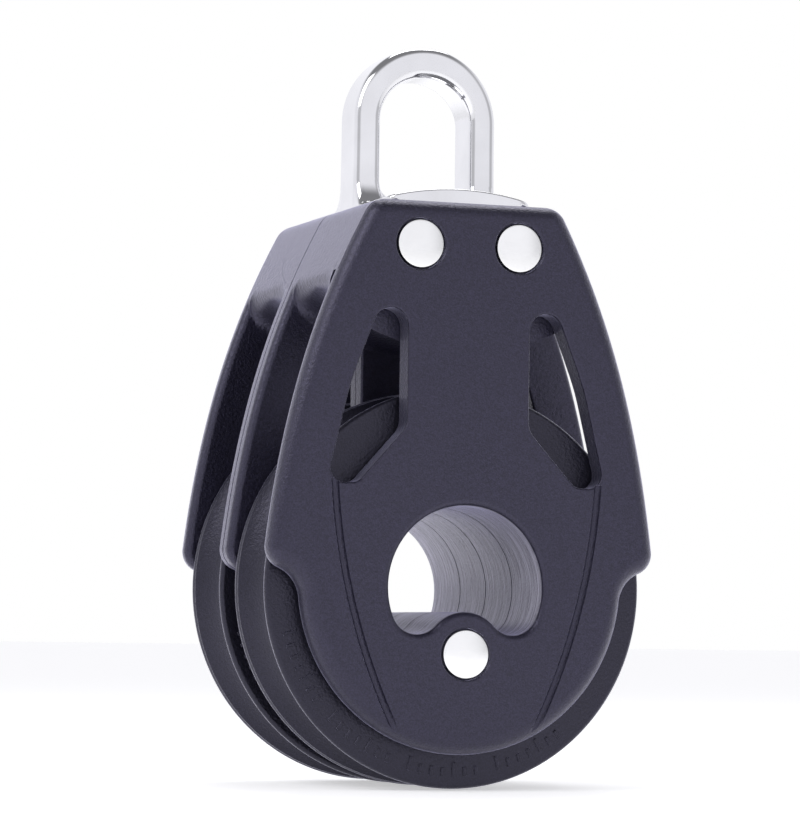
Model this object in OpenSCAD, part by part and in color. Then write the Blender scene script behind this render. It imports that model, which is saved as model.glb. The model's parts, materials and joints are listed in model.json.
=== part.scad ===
// Double sheave block with a fixed eye.
// Origin: on the common axis of the two sheaves, half way through the thickness.
// +X to the right, +Y away from the front face, +Z towards the eye. Millimetres.

/* [Cheeks] */
// Thickness over both outer cheeks
thickness = 44; // [43.5:0.5:46]
// Thickness of an outer cheek beside its sheave
cheek_t = 3.8; // [3.4:0.1:4]
// Thickness of each half of the middle plate
middle_t = 2.4; // [2.2:0.1:2.6]
// Thickness of the front cheek where it laps the head
lap_t = 2; // [1.6:0.1:2.2]
// Height of the top of the head above the axis
head_top = 54.8; // [54:0.1:56]
// Half width of the cheek at its widest, the knees
knee_x = 29.3; // [29:0.1:30]
// Height of the knees above the axis
knee_z = 5.3; // [4.5:0.1:6]
// Radius of the lower end of the cheeks
lower_r = 24.3; // [23.8:0.1:25]
// Radius of the rounded outer edge of the cheeks
edge_r = 2.4; // [1.6:0.2:2.8]

/* [Hub] */
// Radius of the open hub
hub_open_r = 11.6; // [11.3:0.1:11.8]
// Outer radius of the half hubs
hub_r = 13.6; // [13.5:0.1:13.8]
// Width and depth of the bevel round the hub opening
hub_bevel = 0.9; // [0.8:0.1:1.2]
// Radius of the boss round the lower rivet
boss_r = 6.5; // [6.2:0.1:6.8]

/* [Sheaves] */
// Radius over the rims
sheave_r = 28.5; // [28:0.1:29]
// Radius at the bottom of the rope groove
root_r = 24.8; // [24.4:0.1:25.4]
// Width of the rope groove at the rims
groove_w = 11.8; // [11:0.1:12.2]
// Clearance between a sheave and the cheek on each side
side_gap = 0.5; // [0.4:0.05:0.6]

/* [Bearings] */
// Diameter of a bearing ball
ball_d = 3; // [2.8:0.1:3.2]
// Balls in each row
ball_n = 20; // [14:1:22]
// Radius of the circle through the ball centres
pitch_r = 16.15; // [16.1:0.05:16.3]
// Running clearance of a ball against each race
ball_fit = 0.05; // [0.02:0.01:0.1]

/* [Eye] */
// Height of the top of the bow above the axis
eye_top = 79.7; // [79:0.1:81]
// Half width of the bow
bow_half = 10.8; // [10.4:0.1:11]
// Depth of the bow, front to back
bow_depth = 6.6; // [6:0.1:7.4]
// Half width of the opening of the bow
bow_open = 7.2; // [6.8:0.1:7.4]
// Half length of the saddle plate, front to back
saddle_y = 18; // [17:0.1:19]
// Half width of the saddle plate
saddle_x = 11; // [10.8:0.1:11.2]
// Rise of the saddle plate at its middle
saddle_h = 2.3; // [2:0.1:2.6]

/* [Rivets] */
// Half spacing of the two head rivets
rivet_x = 7.5; // [7.2:0.1:7.8]
// Height of the head rivets above the axis
rivet_z = 48.5; // [48:0.1:49]
// Distance of the lower rivet below the axis
rivet_low = 9.4; // [9.2:0.1:9.6]
// Radius of a rivet's shank
shank_r = 2.4; // [2.2:0.1:2.5]
// Radius of a rivet's head
rivet_r = 3.45; // [3.3:0.05:3.6]

/* [Hidden] */

front_y = -thickness / 2;
cheek_in = thickness / 2 - cheek_t;
sheave_y = (cheek_in + middle_t) / 2;
sheave_w = cheek_in - middle_t - 2 * side_gap;
channel_half = (cheek_in - middle_t) / 2;
fit = 0.04;

// Head: the throat is a spool whose axis lies above the head.
corner_r = 3.2;
corner_x = 12.3;
side_angle = 28;
throat_z = 68.5;
throat_r = 32;
throat_sag = 3;
lap_z = 44.5;
wedge_y = 9.7;
head_floor = 30;
edge_steps = 4;

// Lower end: the knee and the lower arc are joined by a hollow curve.
knee_r = 3.1;
knee_angle = 7;
hollow_r = 5;
lower_z = 0.7;

// Hub: thrust rings stand on the plates inside each sheave's bore.
lobe_r = 3.8;
thrust_r = 17.2;
thrust_t = 1.3;
race_r = pitch_r - ball_d / 2 - ball_fit;
bore_r = pitch_r + ball_d / 2 + ball_fit;
row_y = 3.45;
cage_half = 2.55;
cage_wall = 0.8;
rib_half = 0.5;
rib_r = 16.3;
pocket_fit = 0.06;

// Windows and grooves of the cheeks.
window_bevel = 0.4;
window_side = 8.9;
line_w = 1.3;
line_depth = 0.8;
line_r = 88.9;
line_c = [-68.8, 20];
line_from = -3.2;
line_to = -28;

// Eye: the tang under the saddle is held by the two head rivets.
bow_z = 68.7;
open_rise = 6.5;
leg_flare = 0.3;
open_corner = 2.2;
saddle_edge = 0.8;
saddle_corner = 1.8;
tang_half = 2;
tang_x = 11;
tang_z = 44.7;

head_t = 1.2;
recess_r = rivet_r + 0.28;
hole_r = shank_r + 0.05;

composite = [0.2, 0.21, 0.24];
sheave_colour = [0.17, 0.18, 0.21];
steel = [0.8, 0.81, 0.82];
polished = [0.9, 0.9, 0.91];
ball_colour = [0.9, 0.9, 0.86];
cage_colour = [0.12, 0.12, 0.13];

$fn = 96;

// ---- Curves ----

// Points of an arc from angle a to angle b.
function arc(c, r, a, b, n) =
    [for (i = [0:n]) let (t = a + (b - a) * i / n) c + r * [cos(t), sin(t)]];

// Points of a cubic curve with its normals, moved inwards by inset.
function curve(p, inset, n) =
    [for (i = [0:n])
        let (
            t = i / n,
            s = 1 - t,
            q = s^3 * p[0] + 3 * s^2 * t * p[1] + 3 * s * t^2 * p[2] + t^3 * p[3],
            d = s^2 * (p[1] - p[0]) + 2 * s * t * (p[2] - p[1]) + t^2 * (p[3] - p[2])
        )
        q + inset * [d[1], -d[0]] / norm(d)];

// Where two circles meet, on the side given by sign.
function meet(a, ra, b, rb, sign) =
    let (
        d = norm(b - a),
        u = (b - a) / d,
        k = (ra^2 - rb^2 + d^2) / (2 * d)
    )
    a + k * u + sign * sqrt(ra^2 - k^2) * [-u[1], u[0]];

function heading(v) = atan2(v[1], v[0]);

function unit(v) = v / norm(v);

// A closed outline from corners [x, z, radius], each rounded, moved inwards by inset.
function rounded(corners, inset, n) =
    [for (i = [0:len(corners) - 1])
        let (
            m = len(corners),
            c = corners[i],
            p = [c[0], c[1]],
            a = unit([corners[(i + m - 1) % m][0], corners[(i + m - 1) % m][1]] - p),
            b = unit([corners[(i + 1) % m][0], corners[(i + 1) % m][1]] - p),
            half = acos(a * b) / 2,
            centre = p + unit(a + b) * c[2] / sin(half),
            r = c[2] - inset,
            from = heading(-unit(a + b)) + 90 - half,
            to = heading(-unit(a + b)) - 90 + half
        )
        each arc(centre, r, from, to, n)];

// ---- Outlines in the XZ plane ----

// Right half of a cheek's outline, from the top of the head down to the bottom.
function half_outline(inset) =
    let (
        knee = [knee_x - knee_r, knee_z],
        low = [0, lower_z],
        hollow = meet(low, lower_r + hollow_r, knee, knee_r + hollow_r, -1),
        corner = [corner_x, head_top - corner_r],
        start = corner + corner_r * [cos(side_angle), sin(side_angle)],
        finish = knee + knee_r * [cos(knee_angle), sin(knee_angle)],
        down = (start[1] - finish[1]) / 3
    )
    concat(
        arc(corner, corner_r - inset, 90, side_angle, 6),
        curve([
            start,
            start + down * [tan(side_angle), -1],
            finish + down * [-tan(knee_angle), 1],
            finish
        ], inset, 20),
        arc(knee, knee_r - inset, knee_angle, heading(hollow - knee), 8),
        arc(hollow, hollow_r + inset, heading(knee - hollow), heading(low - hollow), 6),
        arc(low, lower_r - inset, heading(hollow - low), -90, 20)
    );

// A closed outline from its right half and the mirror image of it, with no point twice.
function both_halves(half) =
    let (
        mirrored = [for (i = [len(half) - 1:-1:0]) [-half[i][0], half[i][1]]],
        all = concat(half, mirrored),
        last = len(all) - 1
    )
    [for (i = [0:last]) if (norm(all[i] - all[i == 0 ? last : i - 1]) > 0.01) all[i]];

module cheek_outline(inset = 0) {
    polygon(both_halves(half_outline(inset)));
}

// Opening of the hub: a circle that narrows in two lobes round the boss of the lower rivet.
module hub_opening() {
    boss = [0, -rivet_low];
    lobe = meet([0, 0], hub_open_r - lobe_r, boss, boss_r + lobe_r, 1);
    right = concat(
        arc([0, 0], hub_open_r, 90, heading(lobe), 20),
        arc(lobe, lobe_r, heading(lobe), heading(boss - lobe), 10),
        arc(boss, boss_r, heading(lobe - boss), 90, 6)
    );
    polygon(both_halves(right));
}

// Both windows of a plate.
module windows(inset = 0) {
    for (side = [0, 1])
        mirror([side, 0])
            polygon(rounded([
                [window_side, 52, 2.9],
                [18, 28.9, 40],
                [21.6, 14, 2.4],
                [16.3, 14.2, 2.4],
                [window_side, 22.4, 3.3]
            ], inset, 6));
}

// Both curved grooves that run down the face of an outer cheek.
module lines() {
    for (side = [0, 1])
        mirror([side, 0])
            polygon(concat(
                arc(line_c, line_r + line_w / 2, line_from, line_to, 16),
                arc(line_c, line_r - line_w / 2, line_to, line_from, 16)
            ));
}

// ---- Solids along Y ----

// A plate with the outline of its children between two depths.
module slab(y0, y1) {
    translate([0, y1, 0])
        rotate([90, 0, 0])
            linear_extrude(y1 - y0)
                children();
}

// A cylinder along Y between two depths.
module rod(r, y0, y1) {
    translate([0, y1, 0])
        rotate([90, 0, 0])
            cylinder(h = y1 - y0, r = r);
}

// A body turned about the Y axis from a profile of [radius, depth] points.
module turned(points) {
    rotate([-90, 0, 0])
        rotate_extrude()
            polygon(points);
}

// Spool that bounds the head from below, one throat wide.
module throat_spool(y_mid) {
    translate([0, y_mid, throat_z])
        turned(concat(
            [[0, channel_half + side_gap], [0, -channel_half - side_gap]],
            [[throat_r + throat_sag, -channel_half - side_gap]],
            [for (i = [0:12])
                let (a = 180 - 15 * i)
                [throat_r + throat_sag * (1 - sin(a)), cos(a) * channel_half]],
            [[throat_r + throat_sag, channel_half + side_gap]]
        ));
}

// Head block between two depths, scooped by the throat of the sheave at y_mid.
module head_block(y0, y1, y_mid) {
    intersection() {
        slab(y0, y1)
            intersection() {
                cheek_outline();
                translate([-40, head_floor])
                    square([80, 40]);
            }
        throat_spool(y_mid);
    }
}

// Region of the head that belongs to the wedge of the back inner cheek.
module wedge_region(gap = 0) {
    translate([-40, 0, 0])
        rotate([90, 0, 90])
            linear_extrude(80)
                polygon(concat(
                    [[middle_t - 6, 70], [wedge_y + gap, 70]],
                    curve([
                        [wedge_y, 50.5], [wedge_y, 47.5], [7, 46], [middle_t, 44.3]
                    ], -gap, 10),
                    [[middle_t - 6, 44.3 - gap]]
                ));
}

module rivet_holes() {
    for (p = [[-rivet_x, rivet_z], [rivet_x, rivet_z], [0, -rivet_low]])
        translate([p[0], 0, p[1]])
            rod(hole_r, -thickness, thickness);
}

module rivet_recesses(y0, y1) {
    for (p = [[-rivet_x, rivet_z], [rivet_x, rivet_z], [0, -rivet_low]])
        translate([p[0], 0, p[1]])
            rod(recess_r, y0, y1);
}

// Pocket in the head for the tang of the eye.
module tang_pocket() {
    translate([-tang_x - fit, -tang_half - fit, tang_z - fit])
        cube([2 * (tang_x + fit), 2 * (tang_half + fit), 20]);
}

// Face plate of an outer cheek, seen with its outside at -Y and its edge rounded in steps.
module outer_plate(inner_y) {
    difference() {
        for (i = [0:edge_steps - 1])
            slab(front_y + edge_r * (1 - sin(90 * (i + 1) / edge_steps)), inner_y)
                cheek_outline(edge_r * (1 - cos(90 * (i + 0.5) / edge_steps)));
        slab(front_y - 1, inner_y + 1)
            windows(window_bevel);
        slab(front_y - 1, front_y + window_bevel / 2)
            windows();
        slab(front_y - 1, front_y + window_bevel)
            windows(window_bevel / 2);
        slab(front_y - 1, front_y + line_depth)
            lines();
        rivet_recesses(front_y - 1, front_y + head_t + fit);
    }
}

// Half hub with its thrust ring, from a plate's face to the middle of its sheave.
module half_hub(plate_y, end_y) {
    way = sign(end_y - plate_y);
    rod(hub_r, min(plate_y, end_y), max(plate_y, end_y));
    rod(thrust_r, min(plate_y, plate_y + way * thrust_t), max(plate_y, plate_y + way * thrust_t));
}

// Bevel round the hub opening, which leaves the boss of the lower rivet standing.
module hub_mouth() {
    difference() {
        translate([0, front_y, 0])
            rotate([-90, 0, 0])
                cylinder(h = hub_bevel + 0.6, r1 = hub_open_r + hub_bevel, r2 = hub_open_r - 0.6);
        translate([0, 0, -rivet_low])
            rod(boss_r - hub_bevel / 2, front_y - 1, 0);
        translate([-20, front_y - 1, -30])
            cube([40, 10, 30 - 7.2]);
    }
}

// ---- Cheeks ----

module front_cheek() {
    color(composite)
        difference() {
            union() {
                difference() {
                    outer_plate(-cheek_in);
                    translate([-40, front_y + lap_t, lap_z])
                        cube([80, 40, 40]);
                }
                half_hub(-cheek_in, -sheave_y - fit / 2);
            }
            slab(front_y - 1, 0)
                hub_opening();
            hub_mouth();
            rivet_holes();
        }
}

module front_inner_cheek() {
    color(composite)
        difference() {
            union() {
                slab(-middle_t, -fit / 2)
                    difference() {
                        cheek_outline();
                        windows(window_bevel / 2);
                    }
                difference() {
                    head_block(front_y + lap_t + fit, -fit / 2, -sheave_y);
                    translate([-40, -thickness, 0])
                        cube([80, thickness - cheek_in + fit, lap_z + fit]);
                }
                half_hub(-middle_t, -sheave_y + fit / 2);
            }
            slab(-thickness, 1)
                hub_opening();
            tang_pocket();
            rivet_holes();
        }
}

module back_inner_cheek() {
    color(composite)
        difference() {
            union() {
                slab(fit / 2, middle_t)
                    difference() {
                        cheek_outline();
                        windows(window_bevel / 2);
                    }
                intersection() {
                    head_block(fit / 2, wedge_y, sheave_y);
                    wedge_region();
                }
                half_hub(middle_t, sheave_y - fit / 2);
            }
            slab(-1, thickness)
                hub_opening();
            tang_pocket();
            rivet_holes();
        }
}

module back_cheek() {
    color(composite)
        difference() {
            union() {
                rotate([0, 0, 180])
                    outer_plate(-cheek_in);
                difference() {
                    head_block(middle_t + fit, cheek_in + fit, sheave_y);
                    wedge_region(fit);
                }
                half_hub(cheek_in, sheave_y + fit / 2);
            }
            slab(0, thickness)
                hub_opening();
            rotate([0, 0, 180])
                hub_mouth();
            rivet_holes();
        }
}

// ---- Eye ----

module eye() {
    top_r = bow_half;
    outer = concat(
        arc([0, bow_z], top_r, 0, 180, 32),
        [[-bow_half - leg_flare, head_top + saddle_edge / 2]],
        [[bow_half + leg_flare, head_top + saddle_edge / 2]]
    );
    opening = concat(
        [for (i = [0:24]) [bow_open * cos(7.5 * i), bow_z + open_rise * sin(7.5 * i)]],
        arc([-bow_open + open_corner, head_top + saddle_h + open_corner], open_corner, 180, 270, 6),
        arc([bow_open - open_corner, head_top + saddle_h + open_corner], open_corner, 270, 360, 6)
    );
    dome_r = (saddle_x^2 + (saddle_h - saddle_edge)^2) / (2 * (saddle_h - saddle_edge));
    plan = [
        [saddle_x, saddle_y, saddle_corner], [saddle_x, -saddle_y, saddle_corner],
        [-saddle_x, -saddle_y, saddle_corner], [-saddle_x, saddle_y, saddle_corner]
    ];
    color(polished)
        difference() {
            union() {
                slab(-bow_depth / 2, bow_depth / 2)
                    difference() {
                        translate([0, eye_top - bow_z - top_r])
                            polygon(outer);
                        polygon(opening);
                    }
                intersection() {
                    translate([0, 0, head_top + fit])
                        linear_extrude(saddle_h)
                            polygon(rounded(plan, 0, 6));
                    translate([0, 0, head_top + saddle_h - dome_r])
                        rod(dome_r, -thickness, thickness);
                }
                translate([-tang_x, -tang_half, tang_z])
                    cube([2 * tang_x, 2 * tang_half, head_top + saddle_edge / 2 - tang_z]);
            }
            rivet_holes();
        }
}

// ---- Rivets ----

// A rivet with a flush head at each end, on the line x, z.
module rivet(x, z) {
    end = thickness / 2 - fit;
    color(steel)
        translate([x, 0, z])
            turned([
                [0, -end], [rivet_r - 0.15, -end], [rivet_r, -end + 0.15], [rivet_r, -end + head_t],
                [shank_r, -end + head_t], [shank_r, end - head_t],
                [rivet_r, end - head_t], [rivet_r, end - 0.15], [rivet_r - 0.15, end], [0, end]
            ]);
}

module left_head_rivet() {
    rivet(-rivet_x, rivet_z);
}

module right_head_rivet() {
    rivet(rivet_x, rivet_z);
}

module lower_rivet() {
    rivet(0, -rivet_low);
}

// ---- Sheaves and bearings, each on the axis at depth y ----

module race(y) {
    half = channel_half - thrust_t - fit;
    color(steel)
        translate([0, y, 0])
            turned([
                [hub_r + fit, -half], [race_r, -half], [race_r, half], [hub_r + fit, half]
            ]);
}

module sheave(y) {
    half = sheave_w / 2;
    depth = sheave_r - root_r;
    arc_r = (groove_w^2 / 4 + depth^2) / (2 * depth);
    sweep = asin(groove_w / 2 / arc_r);
    rim = (half - groove_w / 2) / 2;
    color(sheave_colour)
        translate([0, y, 0])
            turned(concat(
                [[bore_r, -half]],
                arc([sheave_r - rim, -half + rim], rim, -90, 40, 6),
                arc([root_r + arc_r, 0], arc_r, 180 + sweep * 0.97, 180 - sweep * 0.97, 18),
                arc([sheave_r - rim, half - rim], rim, -40, 90, 6),
                [[bore_r, half], [bore_r, rib_half], [rib_r, rib_half]],
                [[rib_r, -rib_half], [bore_r, -rib_half]]
            ));
}

module balls(y) {
    color(ball_colour)
        for (i = [0:ball_n - 1])
            rotate([0, 360 * i / ball_n, 0])
                translate([pitch_r, y, 0])
                    sphere(d = ball_d, $fn = 32);
}

module cage(y) {
    color(cage_colour)
        translate([0, y, 0])
            difference() {
                rod(pitch_r + cage_wall, -cage_half, cage_half);
                rod(pitch_r - cage_wall, -cage_half - 1, cage_half + 1);
                for (i = [0:ball_n - 1])
                    rotate([0, 360 * i / ball_n, 0])
                        translate([pitch_r - ball_d / 2, 0, 0])
                            rotate([0, 90, 0])
                                cylinder(h = ball_d, r = ball_d / 2 + pocket_fit, $fn = 48);
            }
}

front_cheek();
front_inner_cheek();
back_inner_cheek();
back_cheek();
eye();
left_head_rivet();
right_head_rivet();
lower_rivet();
race(-sheave_y);  // front_race
race(sheave_y);  // back_race
sheave(-sheave_y);  // front_sheave
sheave(sheave_y);  // back_sheave
balls(-sheave_y - row_y);  // front_sheave_outer_balls
balls(-sheave_y + row_y);  // front_sheave_inner_balls
balls(sheave_y - row_y);  // back_sheave_inner_balls
balls(sheave_y + row_y);  // back_sheave_outer_balls
cage(-sheave_y - row_y);  // front_sheave_outer_cage
cage(-sheave_y + row_y);  // front_sheave_inner_cage
cage(sheave_y - row_y);  // back_sheave_inner_cage
cage(sheave_y + row_y);  // back_sheave_outer_cage
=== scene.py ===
"""Looks of the double sheave block: rounded cheeks, grooved sheaves, cast eye and their materials.

Shapes are built in millimetres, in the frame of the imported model, and turned into metres at the end.
"""

import json
import math

import bmesh
import bpy
import numpy as np
from mathutils import Matrix, Vector


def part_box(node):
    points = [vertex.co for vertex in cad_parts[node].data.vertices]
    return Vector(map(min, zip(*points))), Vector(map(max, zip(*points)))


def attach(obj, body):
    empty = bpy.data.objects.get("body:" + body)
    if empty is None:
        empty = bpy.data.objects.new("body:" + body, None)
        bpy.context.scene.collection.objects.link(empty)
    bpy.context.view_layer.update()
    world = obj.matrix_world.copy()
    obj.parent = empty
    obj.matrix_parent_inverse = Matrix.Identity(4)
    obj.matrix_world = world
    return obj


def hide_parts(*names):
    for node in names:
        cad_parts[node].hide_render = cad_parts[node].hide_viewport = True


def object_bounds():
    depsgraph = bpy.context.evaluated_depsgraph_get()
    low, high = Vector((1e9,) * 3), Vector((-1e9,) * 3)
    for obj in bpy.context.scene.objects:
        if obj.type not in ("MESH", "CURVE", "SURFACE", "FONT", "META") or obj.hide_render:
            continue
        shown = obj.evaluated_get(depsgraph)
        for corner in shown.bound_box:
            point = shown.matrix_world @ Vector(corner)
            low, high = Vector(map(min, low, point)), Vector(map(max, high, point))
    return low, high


MM = 0.001

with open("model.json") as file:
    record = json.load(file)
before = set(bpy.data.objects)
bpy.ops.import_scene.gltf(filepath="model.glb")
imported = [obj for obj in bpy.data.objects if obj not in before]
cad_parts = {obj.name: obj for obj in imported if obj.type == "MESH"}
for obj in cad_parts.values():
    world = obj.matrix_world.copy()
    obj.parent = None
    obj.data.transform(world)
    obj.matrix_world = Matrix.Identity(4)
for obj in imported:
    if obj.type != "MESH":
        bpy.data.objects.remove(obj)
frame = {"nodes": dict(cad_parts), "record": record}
cad_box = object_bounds()
SLOTS = {part["node"]: part["material_slot"] for part in frame["record"]["subparts"]}


def box_mm(node):
    """Lowest and highest corner of a CAD node, in millimetres."""
    low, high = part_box(node)
    return low / MM, high / MM


# ---- Dimensions read from the frame ----

cheek_low, cheek_high = box_mm("front_cheek")
inner_high = box_mm("front_inner_cheek")[1]
sheave_low, sheave_high = box_mm("front_sheave")
rivet_low_end, rivet_high_end = box_mm("lower_rivet")
head_rivet_low, head_rivet_high = box_mm("right_head_rivet")
eye_high = box_mm("eye")[1]

HALF_T = -cheek_low.y
KNEE_X = cheek_high.x
HEAD_TOP = inner_high.z
SHEAVE_R = sheave_high.z
SHEAVE_Y = -(sheave_low.y + sheave_high.y) / 2
SHEAVE_HALF = (sheave_high.y - sheave_low.y) / 2
RIVET_R = (rivet_high_end.x - rivet_low_end.x) / 2
RIVET_END = rivet_high_end.y
LOW_RIVET = ((rivet_low_end.x + rivet_high_end.x) / 2, (rivet_low_end.z + rivet_high_end.z) / 2)
HEAD_RIVET = ((head_rivet_low.x + head_rivet_high.x) / 2, (head_rivet_low.z + head_rivet_high.z) / 2)
RIVETS = [(-HEAD_RIVET[0], HEAD_RIVET[1]), HEAD_RIVET, LOW_RIVET]
EYE_TOP = eye_high.z
SADDLE_X = 11
SADDLE_Y = eye_high.y

# ---- Dimensions of the design ----

SIDE_GAP = 0.5
CHANNEL_HALF = SHEAVE_HALF + SIDE_GAP
CHEEK_IN = SHEAVE_Y + CHANNEL_HALF
MIDDLE_T = SHEAVE_Y - CHANNEL_HALF
FIT = 0.04
EDGE_R = 2.4
INNER_EDGE_R = 1.1
SEAM = 0.14
PROUD = 0.012

CORNER_R = 3.2
CORNER_X = 12.3
SIDE_ANGLE = 28
KNEE_R = 3.1
KNEE_Z = 5.3
KNEE_ANGLE = 7
HOLLOW_R = 5
LOWER_R = 24.3
LOWER_Z = 0.7

LAP_Y = -(HALF_T - 2)
LAP_Z = 44.5
LAP_CORNER = 0.3
THROAT_Z = 68.5
THROAT_R = 32
THROAT_SAG = 3
THROAT_CORNER = 1.3
THROAT_CORNER_GROWTH = 2.2
EASE_PULL = 0.55
WEDGE = [(9.7, 50.5), (9.7, 47.5), (7, 46), (MIDDLE_T, 44.3)]

HUB_OPEN_R = 11.6
HUB_R = 13.6
HUB_BEVEL = 0.9
LOBE_R = 3.8
BOSS_R = 6.0
THRUST_R = 17.2
THRUST_T = 1.3
HEAD_T = 1.2
RECESS_R = RIVET_R + 0.26
SHANK_R = 2.4
HOLE_R = SHANK_R + 0.05

WINDOW = [(8.9, 52, 2.9), (18, 28.9, 40), (21.6, 14, 2.4), (16.3, 14.2, 2.4), (8.9, 22.4, 3.3)]
WINDOW_BEVEL = 0.35
LINE_C = (-68.8, 20)
LINE_R = 88.9
LINE_FROM = -3.2
LINE_TO = -28
LINE_W = 1.15
LINE_DEPTH = 0.5

ROOT_R = 24.8
GROOVE_W = 11.8
BORE_R = 17.7
RIB_R = 16.3
RIB_HALF = 0.5
RIM_RECESS = 0.22
RECESS_FROM = 23.9
TICK_N = 96
TICK_FROM = 52
TICK_TO = 84
TICK_R0 = 24.7
TICK_R1 = 26.7

BOW_Z = 68.7
BOW_HALF = 11.0
BOW_DEPTH = 7.6
BOW_ROUND = 1.25
BOW_OPEN = 7.0
OPEN_RISE = 6.5
OPEN_CORNER = 2.2
LEG_FLARE = 0.1
FOOT_H = 5.2
FOOT_SUNK = 0.6
FOOT_DEPTH = 3.3
FOOT_IN = 1.5
FOOT_OUT = 0.1
SADDLE_H = 2.3
SADDLE_EDGE = 0.8
SADDLE_CORNER = 1.8
SADDLE_SOFT = 0.35
TANG = ((-11, -2, 44.7), (11, 2, HEAD_TOP + 0.4))


# ---- Curves in the XZ plane ----


def arc(centre, r, a, b, n):
    """Points of an arc from angle a to angle b, in degrees."""
    t = np.radians(np.linspace(a, b, n + 1))
    return np.column_stack([centre[0] + r * np.cos(t), centre[1] + r * np.sin(t)])


def bezier(p, n, inset=0):
    """Points of a cubic curve, moved to the right of its direction by inset."""
    p = np.array(p, float)
    t = np.linspace(0, 1, n + 1)[:, None]
    s = 1 - t
    q = s**3 * p[0] + 3 * s**2 * t * p[1] + 3 * s * t**2 * p[2] + t**3 * p[3]
    d = s**2 * (p[1] - p[0]) + 2 * s * t * (p[2] - p[1]) + t**2 * (p[3] - p[2])
    d /= np.linalg.norm(d, axis=1)[:, None]
    return q + inset * np.column_stack([d[:, 1], -d[:, 0]])


def meet(a, ra, b, rb, sign):
    """Where two circles meet, on the side given by sign."""
    a, b = np.array(a, float), np.array(b, float)
    d = np.linalg.norm(b - a)
    u = (b - a) / d
    k = (ra**2 - rb**2 + d**2) / (2 * d)
    return a + k * u + sign * math.sqrt(ra**2 - k**2) * np.array([-u[1], u[0]])


def heading(v):
    """Angle of a direction, in degrees."""
    return math.degrees(math.atan2(v[1], v[0]))


def both_halves(half):
    """A closed outline from its right half, without the points that fall together on the axis."""
    left = half[::-1] * [-1, 1]
    points = np.vstack([half, left])
    gap = np.linalg.norm(points - np.roll(points, 1, axis=0), axis=1)
    return points[gap > 1e-4]


def chained(*pieces):
    """Joins pieces that share their end points."""
    return np.vstack([pieces[0]] + [p[1:] for p in pieces[1:]])


def cheek_outline(inset=0.0):
    """Outline of every cheek, moved inwards by inset."""
    knee = np.array([KNEE_X - KNEE_R, KNEE_Z])
    low = np.array([0, LOWER_Z])
    hollow = meet(low, LOWER_R + HOLLOW_R, knee, KNEE_R + HOLLOW_R, -1)
    corner = np.array([CORNER_X, HEAD_TOP - CORNER_R])
    slope, turn = math.radians(SIDE_ANGLE), math.radians(KNEE_ANGLE)
    start = corner + CORNER_R * np.array([math.cos(slope), math.sin(slope)])
    finish = knee + KNEE_R * np.array([math.cos(turn), math.sin(turn)])
    down = (start[1] - finish[1]) / 3
    side = [
        start,
        start + down * np.array([math.tan(slope), -1]),
        finish + down * np.array([-math.tan(turn), 1]),
        finish,
    ]
    return both_halves(
        chained(
            arc(corner, CORNER_R - inset, 90, SIDE_ANGLE, 10),
            bezier(side, 48, inset),
            arc(knee, KNEE_R - inset, KNEE_ANGLE, heading(hollow - knee), 14),
            arc(hollow, HOLLOW_R + inset, heading(knee - hollow), heading(low - hollow), 12),
            arc(low, LOWER_R - inset, heading(hollow - low), -90, 48),
        )
    )


def hub_outline(grow=0.0):
    """Opening of the hub: a circle that narrows in two lobes round the boss of the lower rivet."""
    boss = np.array(LOW_RIVET)
    lobe = meet((0, 0), HUB_OPEN_R - LOBE_R, boss, BOSS_R + LOBE_R, 1)
    return both_halves(
        chained(
            arc((0, 0), HUB_OPEN_R + grow, 90, heading(lobe), 56),
            arc(lobe, LOBE_R + grow, heading(lobe), heading(boss - lobe), 20),
            arc(boss, BOSS_R - grow, heading(lobe - boss), 90, 12),
        )
    )


def rounded(corners, inset, n):
    """A closed outline from corners (x, z, radius), each rounded, moved inwards by inset."""
    count = len(corners)
    pieces = []
    for i, (x, z, radius) in enumerate(corners):
        p = np.array([x, z], float)
        a = np.array(corners[i - 1][:2]) - p
        b = np.array(corners[(i + 1) % count][:2]) - p
        a, b = a / np.linalg.norm(a), b / np.linalg.norm(b)
        half = math.acos(float(a @ b)) / 2
        bisector = (a + b) / np.linalg.norm(a + b)
        out = heading(-bisector)
        turn = math.degrees(half)
        centre = p + bisector * radius / math.sin(half)
        pieces.append(arc(centre, radius - inset, out + 90 - turn, out - 90 + turn, n))
    return np.vstack(pieces)


def circle(centre, r, n=96):
    """A closed circle."""
    return arc(centre, r, 0, 360, n)[:-1]


# ---- Closed meshes ----


class Shell:
    """Vertices and faces of a closed mesh, collected ring by ring."""

    def __init__(self):
        self.points = []
        self.faces = []

    def loop(self, points):
        """Adds a ring of points in space and returns their numbers."""
        first = len(self.points)
        self.points += points
        return list(range(first, len(self.points)))

    def ring(self, outline, y):
        """Adds an outline of the XZ plane at a depth."""
        return self.loop([(x, y, z) for x, z in outline])

    def wall(self, a, b):
        n = len(a)
        self.faces += [(a[i], a[(i + 1) % n], b[(i + 1) % n], b[i]) for i in range(n)]

    def cap(self, ring):
        self.faces.append(tuple(ring))

    def closed(self, rings):
        """Walls between neighbouring rings and a cap at either end."""
        for a, b in zip(rings, rings[1:]):
            self.wall(a, b)
        self.cap(rings[0])
        self.cap(rings[-1])

    def mesh(self, name):
        data = bpy.data.meshes.new(name)
        data.from_pydata([tuple(map(float, p)) for p in self.points], [], self.faces)
        bm = bmesh.new()
        bm.from_mesh(data)
        bmesh.ops.recalc_face_normals(bm, faces=bm.faces)
        bm.to_mesh(data)
        bm.free()
        return data


def stacked(name, stations):
    """A closed solid through rings (outline, y), capped at both ends."""
    shell = Shell()
    shell.closed([shell.ring(outline, y) for outline, y in stations])
    return new_object(name, shell.mesh(name))


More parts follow.
